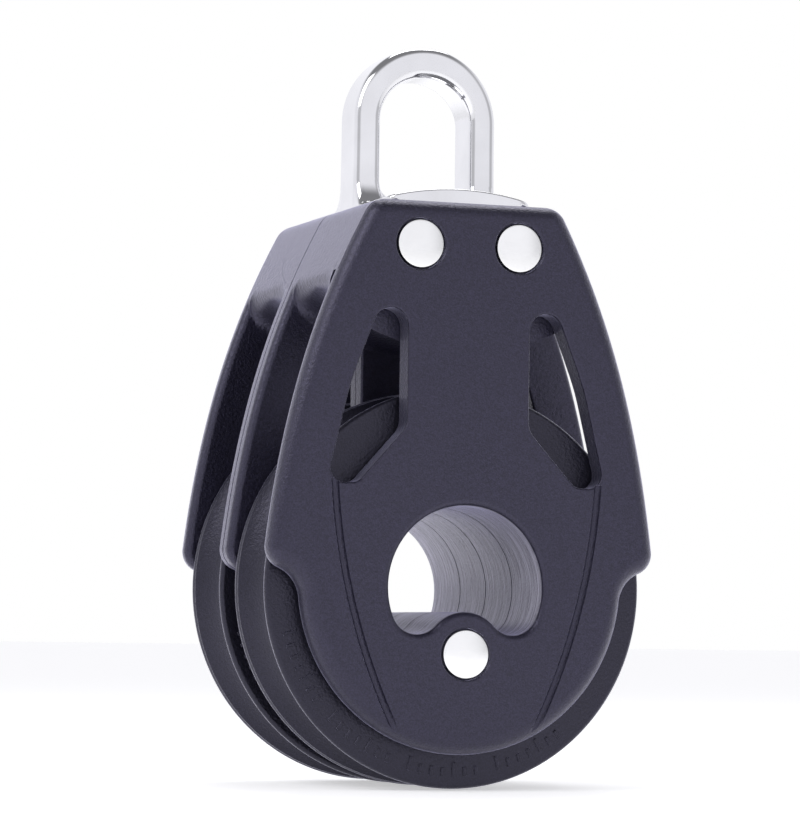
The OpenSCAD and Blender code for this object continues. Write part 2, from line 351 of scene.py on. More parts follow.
def turned(name, profile, y, n=192):
    """A body turned about the Y axis from a closed profile of (radius, depth) points."""
    shell = Shell()
    rings = [shell.ring(circle((0, 0), r, n), y + depth) for r, depth in profile]
    for a, b in zip(rings, rings[1:] + rings[:1]):
        shell.wall(a, b)
    return new_object(name, shell.mesh(name))


def new_object(name, data):
    """Adds an object to the scene."""
    obj = bpy.data.objects.new(name, data)
    bpy.context.scene.collection.objects.link(obj)
    return obj


def combine(target, operation, tools):
    """Joins tools to the target or cuts them from it, and removes them."""
    for tool in tools:
        modifier = target.modifiers.new(operation, "BOOLEAN")
        modifier.operation = operation
        modifier.solver = "EXACT"
        modifier.object = tool
        graph = bpy.context.evaluated_depsgraph_get()
        data = bpy.data.meshes.new_from_object(target.evaluated_get(graph))
        target.modifiers.clear()
        target.data = data
    for tool in tools:
        bpy.data.objects.remove(tool)
    return target


def rod(centre, r, y0, y1, n=64):
    """A round bar along the Y axis."""
    return stacked("rod", [(circle(centre, r, n), y0), (circle(centre, r, n), y1)])


def block(low, high):
    """A plain box, used only to cut."""
    (x0, y0, z0), (x1, y1, z1) = low, high
    square = [(x0, z0), (x1, z0), (x1, z1), (x0, z1)]
    return stacked("block", [(square, y0), (square, y1)])


# ---- Cheeks ----


def outline_stations(face, inner, face_r, inner_r, steps=8):
    """Rings of a plate from its rounded outer face to its inner face."""
    way = 1 if inner > face else -1
    quarter = np.radians(np.linspace(90, 0, steps + 1))
    stations = [
        (cheek_outline(face_r * (1 - math.cos(a))), face + way * face_r * (1 - math.sin(a)))
        for a in quarter
    ]
    stations += [
        (cheek_outline(inner_r * (1 - math.cos(a))), inner - way * inner_r * (1 - math.sin(a)))
        for a in quarter[::-1]
    ]
    return stations


def flared(name, outline, face, back, bevel, back_bevel):
    """A cutter that leaves rounded edges at a face and at the back; outline takes how far it has grown."""
    way = 1 if back > face else -1
    quarter = np.radians(np.linspace(90, 0, 7))
    stations = [(outline(bevel), face - way)]
    stations += [
        (outline(bevel * (1 - math.cos(a))), face + way * bevel * (1 - math.sin(a))) for a in quarter
    ]
    stations += [
        (outline(back_bevel * (1 - math.cos(a))), back - way * back_bevel * (1 - math.sin(a)))
        for a in quarter[::-1]
    ]
    stations.append((outline(back_bevel), back + way))
    return stacked(name, stations)


def window_cutters(face, back, bevel, back_bevel):
    """The two windows of a plate."""
    cutters = []
    for side in (1, -1):

        def outline(grow, side=side):
            return rounded(WINDOW, WINDOW_BEVEL - grow, 10) * [side, 1]

        cutters.append(flared("window", outline, face, back, bevel, back_bevel))
    return cutters


def hub_cutter(face, end, bevel):
    """The bore of half a hub."""
    return flared("hub", hub_outline, face, end, bevel, SEAM)


def rivet_cutters(face):
    """Counterbores in a face for the heads of the three rivets."""
    way = 1 if face < 0 else -1
    cutters = []
    for centre in RIVETS:

        def outline(r, centre=centre):
            return circle(centre, r, 72)

        cutters.append(
            stacked(
                "counterbore",
                [
                    (outline(RECESS_R + 0.2), face - way),
                    (outline(RECESS_R + 0.2), face),
                    (outline(RECESS_R), face + way * 0.2),
                    (outline(RECESS_R), face + way * (HEAD_T + FIT)),
                ],
            )
        )
    return cutters


def shank_cutters():
    """Holes for the shanks of the three rivets."""
    return [rod(centre, HOLE_R, -HALF_T - 1, HALF_T + 1, 48) for centre in RIVETS]


def line_cutters(face):
    """The two curved grooves in an outer face, round-bottomed."""
    way = 1 if face < 0 else -1
    cutters = []
    for side in (1, -1):
        stations = []
        for depth, width in ((-1, 1.0), (0, 1.0), (0.45, 0.86), (0.85, 0.5), (1, 0.18)):
            half = LINE_W / 2 * width
            band = np.vstack(
                [
                    arc(LINE_C, LINE_R + half, LINE_FROM, LINE_TO, 48),
                    arc(LINE_C, LINE_R - half, LINE_TO, LINE_FROM, 48),
                ]
            )
            stations.append((band * [side, 1], face + way * LINE_DEPTH * depth))
        cutters.append(stacked("line", stations))
    return cutters


def half_hub(plate_y, end_y):
    """Tube and thrust ring that stand on a plate, inside the bore of its sheave."""
    way = 1 if end_y > plate_y else -1
    sunk = plate_y - way * 0.6
    ring_top = plate_y + way * THRUST_T
    stations = [
        (circle((0, 0), THRUST_R, 144), sunk),
        (circle((0, 0), THRUST_R, 144), ring_top - way * 0.2),
        (circle((0, 0), THRUST_R - 0.2, 144), ring_top),
        (circle((0, 0), HUB_R, 144), ring_top),
        (circle((0, 0), HUB_R, 144), end_y),
    ]
    return stacked("half_hub", stations)


def throat_r(y, y_mid):
    """Radius of the throat at a depth; it grows towards the plates on either side of its channel."""
    across = min(abs(y - y_mid) / CHANNEL_HALF, 1)
    return THROAT_R + THROAT_SAG * (1 - math.sqrt(1 - across**2))


def resample(points, n):
    """The same open curve through n points at even spacing."""
    steps = np.linalg.norm(np.diff(points, axis=0), axis=1)
    at = np.concatenate([[0], np.cumsum(steps)])
    t = np.linspace(0, at[-1], n)
    return np.column_stack([np.interp(t, at, points[:, 0]), np.interp(t, at, points[:, 1])])


def trimmed(points, length, from_end):
    """Cuts a length off one end of an open curve."""
    if from_end:
        return trimmed(points[::-1], length, False)[::-1]
    steps = np.linalg.norm(np.diff(points, axis=0), axis=1)
    at = np.concatenate([[0], np.cumsum(steps)])
    keep = at > length
    start = [np.interp(length, at, points[:, 0]), np.interp(length, at, points[:, 1])]
    return np.vstack([start, points[keep]])


def head_section(r, inset, corner):
    """Section of the head block: the cheek outline above the throat circle, with rounded lower corners."""
    outline = cheek_outline(inset)
    right = outline[outline[:, 0] >= -1e-6]
    right = right[: np.argmin(right[:, 1])]
    top = right[right[:, 1] > 30]
    far = np.hypot(top[:, 0], top[:, 1] - THROAT_Z)
    crossing = int(np.argmax((far > r) & (top[:, 1] < 52)))
    p, q = top[crossing - 1], top[crossing]
    inside, outside = 0.0, 1.0
    for _ in range(30):
        middle = (inside + outside) / 2
        point = p + (q - p) * middle
        if math.hypot(point[0], point[1] - THROAT_Z) > r:
            outside = middle
        else:
            inside = middle
    foot = p + (q - p) * inside
    side = np.vstack([[[0, top[0][1]]], top[:crossing], [foot]])
    angle = heading(foot - np.array([0, THROAT_Z]))
    under = arc((0, THROAT_Z), r, angle, -90, 60)
    side = resample(trimmed(side, corner, True), 60)
    under = resample(trimmed(under, corner, False), 40)
    pulls = [end + (foot - end) * EASE_PULL for end in (side[-1], under[0])]
    ease = bezier([side[-1], *pulls, under[0]], 8)
    return both_halves(chained(side, ease, under))


def head_block(y0, y1, y_mid):
    """Solid head between two depths, lofted so that the throat is a saddle across the rope channel."""
    depths = [y0, y0 + SEAM]
    quarter = np.radians(np.linspace(90, -90, 17))
    depths += [y_mid - CHANNEL_HALF * math.sin(a) for a in quarter]
    depths += [y_mid - CHANNEL_HALF - 0.05, y1 - SEAM, y1]
    depths = sorted(d for d in depths if y0 <= d <= y1)
    shell = Shell()
    rings = []
    for i, y in enumerate(depths):
        inset = (SEAM if i in (0, len(depths) - 1) else 0) - PROUD
        corner = THROAT_CORNER + THROAT_CORNER_GROWTH * min(abs(y - y_mid) / CHANNEL_HALF, 1) ** 2
        if y < y_mid - CHANNEL_HALF - 0.01 and y0 < -CHEEK_IN:
            corner = LAP_CORNER
        rings.append(shell.ring(head_section(throat_r(y, y_mid), inset, corner), y))
    shell.closed(rings)
    return new_object("head_block", shell.mesh("head_block"))


def seam_cutter(gap):
    """Region in front of the curved seam between the two back pieces of the head, grown by a gap."""
    curve = bezier(WEDGE, 24, -gap)
    ring = [(-5, 80), (WEDGE[0][0] + gap, 80), *curve, (MIDDLE_T + gap, -40), (-5, -40)]
    shell = Shell()
    shell.closed([shell.loop([(x, y, z) for y, z in ring]) for x in (-40, 40)])
    return new_object("seam", shell.mesh("seam"))


def half_middle(seam_y, face_y):
    """One half of the middle plate, with a fine bevel at the seam and rounded edges at the sheave."""
    way = 1 if face_y > seam_y else -1
    quarter = np.radians(np.linspace(0, 90, 7))
    stations = [(cheek_outline(SEAM), seam_y), (cheek_outline(), seam_y + way * SEAM)]
    stations += [
        (cheek_outline(INNER_EDGE_R * (1 - math.cos(a))), face_y - way * INNER_EDGE_R * (1 - math.sin(a)))
        for a in quarter
    ]
    return stacked("middle_plate", stations)


def front_cheek():
    """Front outer plate with half of the front hub."""
    plate = stacked("front_cheek_shell", outline_stations(-HALF_T, -CHEEK_IN, EDGE_R, INNER_EDGE_R))
    combine(plate, "DIFFERENCE", [block((-40, LAP_Y, LAP_Z), (40, 0, 80))])
    combine(plate, "UNION", [half_hub(-CHEEK_IN, -SHEAVE_Y - FIT / 2)])
    cutters = window_cutters(-HALF_T, -CHEEK_IN, WINDOW_BEVEL, 0.3)
    cutters.append(hub_cutter(-HALF_T, -SHEAVE_Y - FIT / 2, HUB_BEVEL))
    cutters += rivet_cutters(-HALF_T) + shank_cutters() + line_cutters(-HALF_T)
    return combine(plate, "DIFFERENCE", cutters)


def front_inner_cheek():
    """Front half of the middle plate, with the front head block."""
    body = half_middle(-FIT / 2, -MIDDLE_T)
    head = head_block(LAP_Y + FIT, -FIT / 2, -SHEAVE_Y)
    combine(head, "DIFFERENCE", [block((-40, -HALF_T - 1, -40), (40, -CHEEK_IN + FIT, LAP_Z + FIT))])
    combine(body, "UNION", [head, half_hub(-MIDDLE_T, -SHEAVE_Y + FIT / 2)])
    cutters = window_cutters(-MIDDLE_T, -FIT / 2, 0.35, SEAM)
    cutters += [hub_cutter(-SHEAVE_Y + FIT / 2, -FIT / 2, SEAM), tang_pocket()] + shank_cutters()
    return combine(body, "DIFFERENCE", cutters)


def back_inner_cheek():
    """Back half of the middle plate, with the wedge of the head."""
    body = half_middle(FIT / 2, MIDDLE_T)
    head = head_block(FIT / 2, CHEEK_IN + 1, SHEAVE_Y)
    combine(head, "INTERSECT", [seam_cutter(0)])
    combine(body, "UNION", [head, half_hub(MIDDLE_T, SHEAVE_Y - FIT / 2)])
    cutters = window_cutters(MIDDLE_T, FIT / 2, 0.35, SEAM)
    cutters += [hub_cutter(SHEAVE_Y - FIT / 2, FIT / 2, SEAM), tang_pocket()] + shank_cutters()
    return combine(body, "DIFFERENCE", cutters)


def back_cheek():
    """Back outer plate with the rest of the head."""
    plate = stacked("back_cheek_shell", outline_stations(HALF_T, CHEEK_IN, EDGE_R, INNER_EDGE_R))
    head = head_block(FIT / 2, CHEEK_IN + INNER_EDGE_R + 0.2, SHEAVE_Y)
    combine(head, "DIFFERENCE", [seam_cutter(FIT)])
    combine(plate, "UNION", [head, half_hub(CHEEK_IN, SHEAVE_Y + FIT / 2)])
    cutters = window_cutters(HALF_T, CHEEK_IN, WINDOW_BEVEL, 0.3)
    cutters.append(hub_cutter(HALF_T, SHEAVE_Y + FIT / 2, HUB_BEVEL))
    cutters += rivet_cutters(HALF_T) + shank_cutters() + line_cutters(HALF_T)
    return combine(plate, "DIFFERENCE", cutters)


def tang_pocket():
    """Pocket in the head for the tang of the eye, with a little room all round."""
    low, high = TANG
    return block([c - FIT for c in low], (high[0] + FIT, high[1] + FIT, 70))


# ---- Sheaves ----


def sheave_profile():
    """Section of a sheave: bore with a rib, flanges with a recessed rim, round groove."""
    depth = SHEAVE_R - ROOT_R
    arc_r = (GROOVE_W**2 / 4 + depth**2) / (2 * depth)
    sweep = math.degrees(math.asin(GROOVE_W / 2 / arc_r))
    face = SHEAVE_HALF
    flange = face - RIM_RECESS
    rim = (flange - GROOVE_W / 2) / 2
    groove = arc((ROOT_R + arc_r, 0), arc_r, 180 + sweep * 0.97, 180 - sweep * 0.97, 28)
    return np.vstack(
        [
            [(BORE_R, -face), (RECESS_FROM - 0.5, -face), (RECESS_FROM, -flange)],
            arc((SHEAVE_R - rim, -flange + rim), rim, -90, 40, 8),
            groove,
            arc((SHEAVE_R - rim, flange - rim), rim, -40, 90, 8),
            [(RECESS_FROM, flange), (RECESS_FROM - 0.5, face), (BORE_R, face)],
            [(BORE_R, RIB_HALF), (RIB_R, RIB_HALF), (RIB_R, -RIB_HALF), (BORE_R, -RIB_HALF)],
        ]
    )


def ticks(y, way):
    """Raised marks spaced evenly round a flange, every fourth one longer."""
    shell = Shell()
    face = y + way * (SHEAVE_HALF - RIM_RECESS)
    for i in range(TICK_FROM, TICK_TO):
        if i % 8 == 3:
            continue
        turn = 2 * math.pi * i / TICK_N
        out = np.array([math.cos(turn), math.sin(turn)])
        across = np.array([-out[1], out[0]])
        low = TICK_R0 if i % 4 == 0 else TICK_R0 + 0.7
        rings = []
        for half, pull, height in ((0.24, 0, -0.08), (0.24, 0, 0.1), (0.16, 0.08, 0.18)):
            corners = [
                out * (low + pull) - across * half,
                out * (TICK_R1 - pull) - across * half,
                out * (TICK_R1 - pull) + across * half,
                out * (low + pull) + across * half,
            ]
            rings.append(shell.ring(corners, face + way * height))
        shell.closed(rings)
    return new_object("ticks", shell.mesh("ticks"))


def joined(objs):
    """One object from several, keeping the first one's name."""
    bm = bmesh.new()
    for obj in objs:
        bm.from_mesh(obj.data)
    bm.to_mesh(objs[0].data)
    bm.free()
    for obj in objs[1:]:
        bpy.data.objects.remove(obj)
    return objs[0]


def sheave(name, y):
    """A sheave with its raised ticks."""
    return joined([turned(name, sheave_profile(), y, 256), ticks(y, -1), ticks(y, 1)])


# ---- Rivets ----


def rivet(name, centre):
    """A shank with a flat head at either end."""
    end, shank = RIVET_END, SHANK_R
    profile = [
        (0.4, -end),
        (RIVET_R - 0.3, -end),
        (RIVET_R - 0.08, -end + 0.08),
        (RIVET_R, -end + 0.3),
        (RIVET_R, -end + HEAD_T),
        (shank, -end + HEAD_T),
    ]
    profile += [(r, -y) for r, y in profile[::-1]]
    shell = Shell()
    shell.closed([shell.ring(circle(centre, r, 96), y) for r, y in profile])
    return new_object(name, shell.mesh(name))


# ---- Eye ----

def bow_outline(inset):
    """Outside of the bow, from one foot over the arch to the other."""
    foot_z = HEAD_TOP + FOOT_SUNK
    leg = np.linspace(foot_z, BOW_Z, 14)[:-1]
    flare = LEG_FLARE * ((BOW_Z - leg) / (BOW_Z - foot_z)) ** 2
    right = np.column_stack([BOW_HALF + flare - inset, leg])
    over = arc((0, BOW_Z), 1, 0, 180, 48)
    rise = EYE_TOP - BOW_Z - inset
    over = np.column_stack([over[:, 0] * (BOW_HALF - inset), BOW_Z + (over[:, 1] - BOW_Z) * rise])
    left = right[::-1] * [-1, 1]
    return np.vstack([right, over, left])


def bow_opening(grow):
    """Opening of the bow: a flattened arch over straight sides with rounded lower corners."""
    floor = HEAD_TOP + SADDLE_H + OPEN_CORNER
    t = np.radians(np.linspace(0, 180, 49))
    over = np.column_stack(
        [(BOW_OPEN + grow) * np.cos(t), BOW_Z + (OPEN_RISE + grow) * np.sin(t)]
    )
    side = np.linspace(BOW_Z, floor, 12)[1:-1]
    left = np.column_stack([np.full(len(side), -BOW_OPEN - grow), side])
    low_left = arc((-BOW_OPEN + OPEN_CORNER, floor), OPEN_CORNER + grow, 180, 270, 10)
    low_right = arc((BOW_OPEN - OPEN_CORNER, floor), OPEN_CORNER + grow, 270, 360, 10)
    return np.vstack([over, left, low_left, low_right, left[::-1] * [-1, 1]])


def bow():
    """The loop of the eye, rounded at every edge."""
    half = BOW_DEPTH / 2
    quarter = np.radians(np.linspace(90, 0, 8))
    rows = [(BOW_ROUND * (1 - math.cos(a)), BOW_ROUND * (1 - math.sin(a))) for a in quarter]
    stations = [(bow_outline(inset), -half + step) for inset, step in rows]
    stations += [(bow_outline(inset), half - step) for inset, step in rows[::-1]]
    body = stacked("eye_casting", stations)
    cutter = flared("opening", bow_opening, -half, half, BOW_ROUND, BOW_ROUND)
    return combine(body, "DIFFERENCE", [cutter])


def saddle_top(x):
    """Height of the dome across the saddle."""
    return HEAD_TOP + SADDLE_EDGE + (SADDLE_H - SADDLE_EDGE) * (1 - (x / SADDLE_X) ** 2)


def saddle_plan(inset):
    """Outline of the saddle from above, evenly divided so that its dome follows the curve."""
    x, y, r = SADDLE_X - inset, SADDLE_Y - inset, max(SADDLE_CORNER - inset, 0.3)
    outline = rounded([(x, y, r), (x, -y, r), (-x, -y, r), (-x, y, r)], 0, 8)
    return resample(np.vstack([outline, outline[:1]]), 161)[:-1]


def saddle():
    """Domed plate under the bow, with softened upper edges."""
    shell = Shell()

    def ring(inset, height):
        return shell.loop([(x, y, height(x)) for x, y in saddle_plan(inset)])

    rings = [ring(0.1, lambda x: HEAD_TOP + FIT), ring(0, lambda x: HEAD_TOP + FIT + 0.1)]
    for a in np.radians(np.linspace(0, 90, 5)):
        drop = SADDLE_SOFT * (1 - math.sin(a))
        rings.append(ring(SADDLE_SOFT * (1 - math.cos(a)), lambda x, drop=drop: saddle_top(x) - drop))
    rings += [ring(inset, saddle_top) for inset in np.linspace(0.9, SADDLE_X - 1.0, 16)]
    shell.closed(rings)
    return new_object("saddle", shell.mesh("saddle"))


def foot(side):
    """Concave spread of a leg of the bow onto the saddle."""
    shell = Shell()
    rings = []
    low = HEAD_TOP + FOOT_SUNK
    for t in np.linspace(0, 1, 15):
        k = 1 - math.sqrt(1 - (0.985 * t) ** 2)
        y = BOW_DEPTH / 2 - 0.05 + FOOT_DEPTH * k
        x0 = BOW_OPEN + 0.05 - FOOT_IN * k
        x1 = BOW_HALF - 0.05 + FOOT_OUT * k
        corners = [(x, depth, BOW_ROUND) for x, depth in ((x1, y), (x1, -y), (x0, -y), (x0, y))]
        z = low + FOOT_H * (1 - t)
        rings.append(shell.loop([(side * px, py, z) for px, py in rounded(corners, 0, 7)]))
    shell.closed(rings)
    return new_object("foot", shell.mesh("foot"))


def eye():
    """The whole casting: bow, saddle, feet and tang."""
    body = bow()
    tang = block(*TANG)
    combine(tang, "DIFFERENCE", [rod(c, HOLE_R, -5, 5, 48) for c in RIVETS[:2]])
    return combine(body, "UNION", [saddle(), foot(1), foot(-1), tang])


# ---- Materials ----


def nodes_of(name):
    """A new material with its node tree and shader."""
    material = bpy.data.materials.new(name)
    material.use_nodes = True
    tree = material.node_tree
    shader = tree.nodes["Principled BSDF"]
    return material, tree, shader


def noise(tree, scale, detail=4.0, rough=0.55, stretch=(1, 1, 1)):
    """A noise texture in object space."""
    coords = tree.nodes.new("ShaderNodeTexCoord")
    mapping = tree.nodes.new("ShaderNodeMapping")
    mapping.inputs["Scale"].default_value = stretch
    texture = tree.nodes.new("ShaderNodeTexNoise")
    texture.inputs["Scale"].default_value = scale
    texture.inputs["Detail"].default_value = detail
    texture.inputs["Roughness"].default_value = rough
    tree.links.new(coords.outputs["Object"], mapping.inputs["Vector"])
    tree.links.new(mapping.outputs["Vector"], texture.inputs["Vector"])
    return texture.outputs["Fac"]


def ramp(tree, source, stops):
    """A colour ramp through (position, colour) stops."""
    node = tree.nodes.new("ShaderNodeValToRGB")
    node.color_ramp.elements[0].position = stops[0][0]
    node.color_ramp.elements[0].color = (*stops[0][1], 1)
    node.color_ramp.elements[1].position = stops[-1][0]
    node.color_ramp.elements[1].color = (*stops[-1][1], 1)
    for position, colour in stops[1:-1]:
        node.color_ramp.elements.new(position).color = (*colour, 1)
    tree.links.new(source, node.inputs["Fac"])
    return node.outputs["Color"]


def spread(tree, source, low, high):
    """Maps a texture from 0.3..0.7 to low..high."""
    node = tree.nodes.new("ShaderNodeMapRange")
    node.inputs["From Min"].default_value = 0.3
    node.inputs["From Max"].default_value = 0.7
    node.inputs["To Min"].default_value = low
    node.inputs["To Max"].default_value = high
    tree.links.new(source, node.inputs["Value"])
    return node.outputs["Result"]


def bump(tree, source, strength, distance, before=None):
    """A bump, laid over an earlier one if given."""
    node = tree.nodes.new("ShaderNodeBump")
    node.inputs["Strength"].default_value = strength
    node.inputs["Distance"].default_value = distance
    tree.links.new(source, node.inputs["Height"])
    if before is not None:
        tree.links.new(before, node.inputs["Normal"])
    return node.outputs["Normal"]


def sheen(shader):
    """Bright grazing edges: a satin skin over the plastic and a soft sheen."""
    shader.inputs["Coat Weight"].default_value = 0.6
    shader.inputs["Coat Roughness"].default_value = 0.36
    shader.inputs["Coat Tint"].default_value = (0.93, 0.92, 1, 1)
    shader.inputs["Sheen Weight"].default_value = 0.85
    shader.inputs["Sheen Roughness"].default_value = 0.3
    shader.inputs["Sheen Tint"].default_value = (0.74, 0.72, 1, 1)


def composite(name, dark, light, rough, gloss):
    """Satin glass-filled plastic: fine moulded grain, faint cloudiness and uneven sheen."""
    material, tree, shader = nodes_of(name)
    cloud = noise(tree, 70, 5)
    grain = noise(tree, 2300, 2, 0.7)
    speckle = noise(tree, 5200, 1)
    colour = ramp(tree, speckle, [(0.3, dark), (0.7, light)])
    tree.links.new(colour, shader.inputs["Base Color"])
    tree.links.new(spread(tree, grain, rough - 0.1, rough + 0.12), shader.inputs["Roughness"])
    tree.links.new(spread(tree, speckle, gloss * 0.75, gloss * 1.25), shader.inputs["Specular IOR Level"])
    coarse = bump(tree, cloud, 0.05, 0.0002)
    skin = bump(tree, grain, 1.0, 0.00009, coarse)
    tree.links.new(skin, shader.inputs["Normal"])
    tree.links.new(skin, shader.inputs["Coat Normal"])
    shader.inputs["Specular Tint"].default_value = (0.62, 0.57, 1, 1)
    sheen(shader)
    return material


def math_node(tree, operation, a, b):
    """A math node on two inputs, each a socket or a number."""
    node = tree.nodes.new("ShaderNodeMath")
    node.operation = operation
    for socket, value in zip(node.inputs, (a, b)):
        if isinstance(value, (int, float)):
            socket.default_value = value
        else:
            tree.links.new(value, socket)
    return node.outputs["Value"]


def streaked_bore_painted_reflection(material):
    """Painted reflection: lightens the wall of the hub with light greys standing in for the bright
    backdrop it mirrors, broken into streaks that run round it.
    """
    tree = material.node_tree
    shader = tree.nodes["Principled BSDF"]
    coords = tree.nodes.new("ShaderNodeTexCoord")
    where = tree.nodes.new("ShaderNodeSeparateXYZ")
    facing = tree.nodes.new("ShaderNodeSeparateXYZ")
    tree.links.new(coords.outputs["Object"], where.inputs["Vector"])
    tree.links.new(coords.outputs["Normal"], facing.inputs["Vector"])
    x = where.outputs["X"]
    z = where.outputs["Z"]
    square = math_node(tree, "ADD", math_node(tree, "MULTIPLY", x, x), math_node(tree, "MULTIPLY", z, z))
    # Painted reflection mask: the inward-facing wall of the hub opening
    near = math_node(tree, "LESS_THAN", square, ((HUB_OPEN_R + 0.25) * MM) ** 2)
    along = math_node(tree, "ABSOLUTE", facing.outputs["Y"], 0.0)
    inward = math_node(tree, "LESS_THAN", along, 0.35)
    bore_reflection_mask = math_node(tree, "MULTIPLY", near, inward)
    streaks = noise(tree, 260, 5, 0.65, (0.35, 9, 0.35))
    # Light greys of painted reflection, laid on in streaks over the slate colour
    streak_reflection_colour = ramp(tree, streaks, BORE_REFLECTION_GREYS)
    mix = tree.nodes.new("ShaderNodeMix")
    mix.data_type = "RGBA"
    colour_a, colour_b, colour_out = mix.inputs[6], mix.inputs[7], mix.outputs[2]
    before = shader.inputs["Base Color"].links[0].from_socket
    tree.links.new(bore_reflection_mask, mix.inputs["Factor"])
    tree.links.new(before, colour_a)
    tree.links.new(streak_reflection_colour, colour_b)
    tree.links.new(colour_out, shader.inputs["Base Color"])
    return material


def steel(name, colour, rough_low, rough_high, stretch, scale, strength):
    """Stainless steel with the fine marks of its finish."""
    material, tree, shader = nodes_of(name)
    marks = noise(tree, scale, 6, 0.6, stretch)
    smudge = noise(tree, 120, 4)
    shade = [c * 0.9 for c in colour]
    tree.links.new(ramp(tree, smudge, [(0.3, shade), (0.7, colour)]), shader.inputs["Base Color"])
    tree.links.new(spread(tree, marks, rough_low, rough_high), shader.inputs["Roughness"])
    tree.links.new(bump(tree, marks, strength, 0.00003), shader.inputs["Normal"])
    shader.inputs["Metallic"].default_value = 1
    return material


# Greys of the hub wall: painted reflection of the bright backdrop, not the wall's own colour
BORE_REFLECTION_GREYS = [(0.38, (0.05, 0.048, 0.062)), (0.5, (0.2, 0.195, 0.23)), (0.62, (0.44, 0.43, 0.48))]
SLATE = ((0.002, 0.0016, 0.004), (0.006, 0.0055, 0.014))
DARK_SLATE = ((0.0012, 0.001, 0.0025), (0.004, 0.004, 0.009))


def make_materials():
    """One material for each slot of the record."""
    return {
        # The cheeks' slate carries painted reflection on the wall of the hub
        "cheek": streaked_bore_painted_reflection(composite("slate_composite", *SLATE, 0.38, 0.56)),
        "sheave": composite("sheave_composite", *DARK_SLATE, 0.36, 0.36),
        "eye": steel("polished_stainless", (0.84, 0.84, 0.86), 0.05, 0.12, (1, 1, 1), 900, 0.05),
        "rivet": steel("satin_stainless", (0.97, 0.97, 0.97), 0.18, 0.26, (1, 1, 8), 1100, 0.08),
        "race": steel("ground_stainless", (0.7, 0.7, 0.71), 0.2, 0.3, (1, 30, 1), 900, 0.1),
        "balls": composite("acetal", (0.7, 0.69, 0.64), (0.78, 0.77, 0.72), 0.25, 0.5),
        "cage": composite("cage_acetal", (0.02, 0.02, 0.022), (0.03, 0.03, 0.033), 0.45, 0.5),
    }


# ---- Surroundings: brightness by direction, as start, end, value at start, value at end ----

BACKDROP = (0.3, 0.95, 0.98, 1.06)
FRONT = (-0.35, -0.05, 0.0, 1.0)
SIDE_DIP = (0.45, 0.75, 1.0, 0.6)
OVERHEAD = (0.45, 0.85, 1.0, 0.25)

# ---- Lamps as name, direction, width and power, and the camera ----

LAMPS = [("key", (-1.0, -0.35, 0.9), 0.3, 0.8), ("top", (0.2, 0.4, 1.0), 0.3, 0.8)]
CAMERA_LENS = 156.6
CAMERA_SENSOR = 36
CAMERA_AZIMUTH = -20.38
CAMERA_ELEVATION = -3.55
CAMERA_ROLL = 0.734
CAMERA_DISTANCE = 0.5306
AIM_RIGHT = -0.00212
AIM_UP = 0.00013

# ---- Finishing ----


def smooth_by_angle(obj, angle):
    """Smooth shading with sharp edges past an angle, and flat faces kept flat."""
    bm = bmesh.new()
    bm.from_mesh(obj.data)
    bmesh.ops.remove_doubles(bm, verts=bm.verts, dist=0.002)
    bmesh.ops.dissolve_degenerate(bm, edges=bm.edges, dist=0.001)
    limit = math.radians(angle)
    for face in bm.faces:
        face.smooth = True
    for edge in bm.edges:
        edge.smooth = len(edge.link_faces) == 2 and edge.calc_face_angle(0) < limit
    bm.to_mesh(obj.data)
    bm.free()
    modifier = obj.modifiers.new("weighted", "WEIGHTED_NORMAL")
    modifier.keep_sharp = True
    modifier.weight = 60


def place(obj, node, body, material, angle=32):
    """Turns a piece from millimetres into metres and puts it in the place of a CAD node."""
    obj.data.materials.clear()
    smooth_by_angle(obj, angle)
    obj.data.transform(Matrix.Scale(MM, 4))
    obj.data.materials.append(material)
    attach(obj, body)
    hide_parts(node)


def studio_world():
    """White tent: even behind and beside the object, dimmer to the front sides, above and below."""
    world = bpy.data.worlds.new("studio")
    world.use_nodes = True
    tree = world.node_tree
    tree.nodes.clear()
    coords = tree.nodes.new("ShaderNodeTexCoord")
    split = tree.nodes.new("ShaderNodeSeparateXYZ")
    tree.links.new(coords.outputs["Generated"], split.inputs["Vector"])
    x, y, z = split.outputs["X"], split.outputs["Y"], split.outputs["Z"]

    def mapped(source, start, end, low, high):
        node = tree.nodes.new("ShaderNodeMapRange")
        node.interpolation_type = "SMOOTHSTEP"
        node.inputs["From Min"].default_value = start
        node.inputs["From Max"].default_value = end
        node.inputs["To Min"].default_value = low
        node.inputs["To Max"].default_value = high
        tree.links.new(source, node.inputs["Value"])
        return node.outputs["Result"]

    def blend(amount, a, b):
        """a where amount is 0, b where it is 1."""
        rest = math_node(tree, "SUBTRACT", 1.0, amount)
        first = math_node(tree, "MULTIPLY", rest, a)
        return math_node(tree, "ADD", first, math_node(tree, "MULTIPLY", amount, b))

    back = mapped(y, *BACKDROP)
    dip = mapped(math_node(tree, "ABSOLUTE", x, 0.0), *SIDE_DIP)
    around = blend(mapped(y, *FRONT), dip, back)
    above = mapped(math_node(tree, "ABSOLUTE", z, 0.0), *OVERHEAD)
    strength = math_node(tree, "MULTIPLY", around, above)

    tent = tree.nodes.new("ShaderNodeBackground")
    tent.inputs["Color"].default_value = (0.96, 0.96, 1, 1)
    tree.links.new(strength, tent.inputs["Strength"])
    plain = tree.nodes.new("ShaderNodeBackground")
    plain.inputs["Color"].default_value = (1, 1, 1, 1)
    seen = tree.nodes.new("ShaderNodeLightPath")
    mix = tree.nodes.new("ShaderNodeMixShader")
    output = tree.nodes.new("ShaderNodeOutputWorld")
    tree.links.new(seen.outputs["Is Camera Ray"], mix.inputs["Fac"])
    tree.links.new(tent.outputs["Background"], mix.inputs[1])
    tree.links.new(plain.outputs["Background"], mix.inputs[2])
    tree.links.new(mix.outputs["Shader"], output.inputs["Surface"])
    bpy.context.scene.world = world


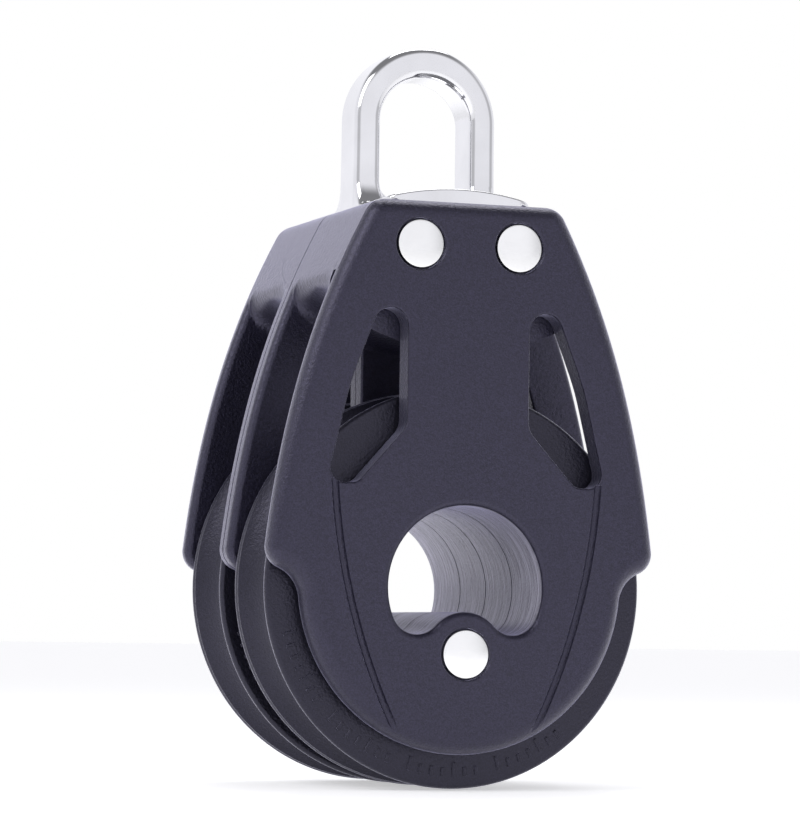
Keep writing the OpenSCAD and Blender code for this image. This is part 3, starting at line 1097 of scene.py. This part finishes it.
def floor(low, size):
    """A plain pale floor just under the object."""
    data = bpy.data.meshes.new("floor")
    reach = 60 * size
    z = low.z - 0.0002
    corners = [(-reach, -reach, z), (reach, -reach, z), (reach, reach, z), (-reach, reach, z)]
    data.from_pydata(corners, [], [(0, 1, 2, 3)])
    obj = new_object("floor", data)
    pale, _, shader = nodes_of("pale_floor")
    shader.inputs["Base Color"].default_value = (0.93, 0.93, 0.94, 1)
    shader.inputs["Roughness"].default_value = 0.9
    shader.inputs["Emission Color"].default_value = (1, 1, 1, 1)
    shader.inputs["Emission Strength"].default_value = 0.44
    data.materials.append(pale)


def lamps(centre, size):
    """Two soft area lights, above to the left and above."""
    for name, direction, width, power in LAMPS:
        data = bpy.data.lights.new(name, "AREA")
        data.shape = "SQUARE"
        data.size = width
        data.energy = power
        lamp = new_object(name, data)
        way = Vector(direction).normalized()
        lamp.location = centre + way * size * 4
        lamp.rotation_mode = "QUATERNION"
        lamp.rotation_quaternion = way.to_track_quat("Z", "Y")


def camera(centre):
    """A long lens, a little below the middle of the block and to its left."""
    data = bpy.data.cameras.new("camera")
    data.lens = CAMERA_LENS
    data.sensor_width = CAMERA_SENSOR
    data.clip_start = 0.01
    data.clip_end = 100
    azimuth = math.radians(CAMERA_AZIMUTH)
    elevation = math.radians(CAMERA_ELEVATION)
    level = math.cos(elevation)
    back = Vector((math.sin(azimuth) * level, -math.cos(azimuth) * level, math.sin(elevation)))
    right = Vector((math.cos(azimuth), math.sin(azimuth), 0))
    up = back.cross(right)
    spot = centre + right * AIM_RIGHT + up * AIM_UP + back * CAMERA_DISTANCE
    turn = Matrix.Rotation(math.radians(CAMERA_ROLL), 3, back)
    axes = Matrix((turn @ right, turn @ up, back)).transposed()
    obj = new_object("camera", data)
    obj.matrix_world = Matrix.Translation(spot) @ axes.to_4x4()
    bpy.context.scene.camera = obj


def studio():
    """Pale floor, soft lights, white surroundings and the camera."""
    low, high = cad_box
    centre = (low + high) / 2
    size = (high - low).length
    floor(low, size)
    studio_world()
    bpy.context.scene.view_settings.view_transform = "Standard"
    lamps(centre, size)
    camera(centre)


def main():
    """Builds every piece, gives it its material and sets the studio."""
    materials = make_materials()
    for node, obj in frame["nodes"].items():
        obj.data.materials.clear()
        obj.data.materials.append(materials[SLOTS[node]])

    place(front_cheek(), "front_cheek", "block", materials["cheek"])
    place(front_inner_cheek(), "front_inner_cheek", "block", materials["cheek"])
    place(back_inner_cheek(), "back_inner_cheek", "block", materials["cheek"])
    place(back_cheek(), "back_cheek", "block", materials["cheek"])
    place(eye(), "eye", "block", materials["eye"], 50)
    names = ["left_head_rivet", "right_head_rivet", "lower_rivet"]
    for name, centre in zip(names, RIVETS):
        place(rivet(name + "_turned", centre), name, "block", materials["rivet"])
    for name, y in (("front_sheave", -SHEAVE_Y), ("back_sheave", SHEAVE_Y)):
        place(sheave(name + "_moulding", y), name, name, materials["sheave"])
    studio()


main()
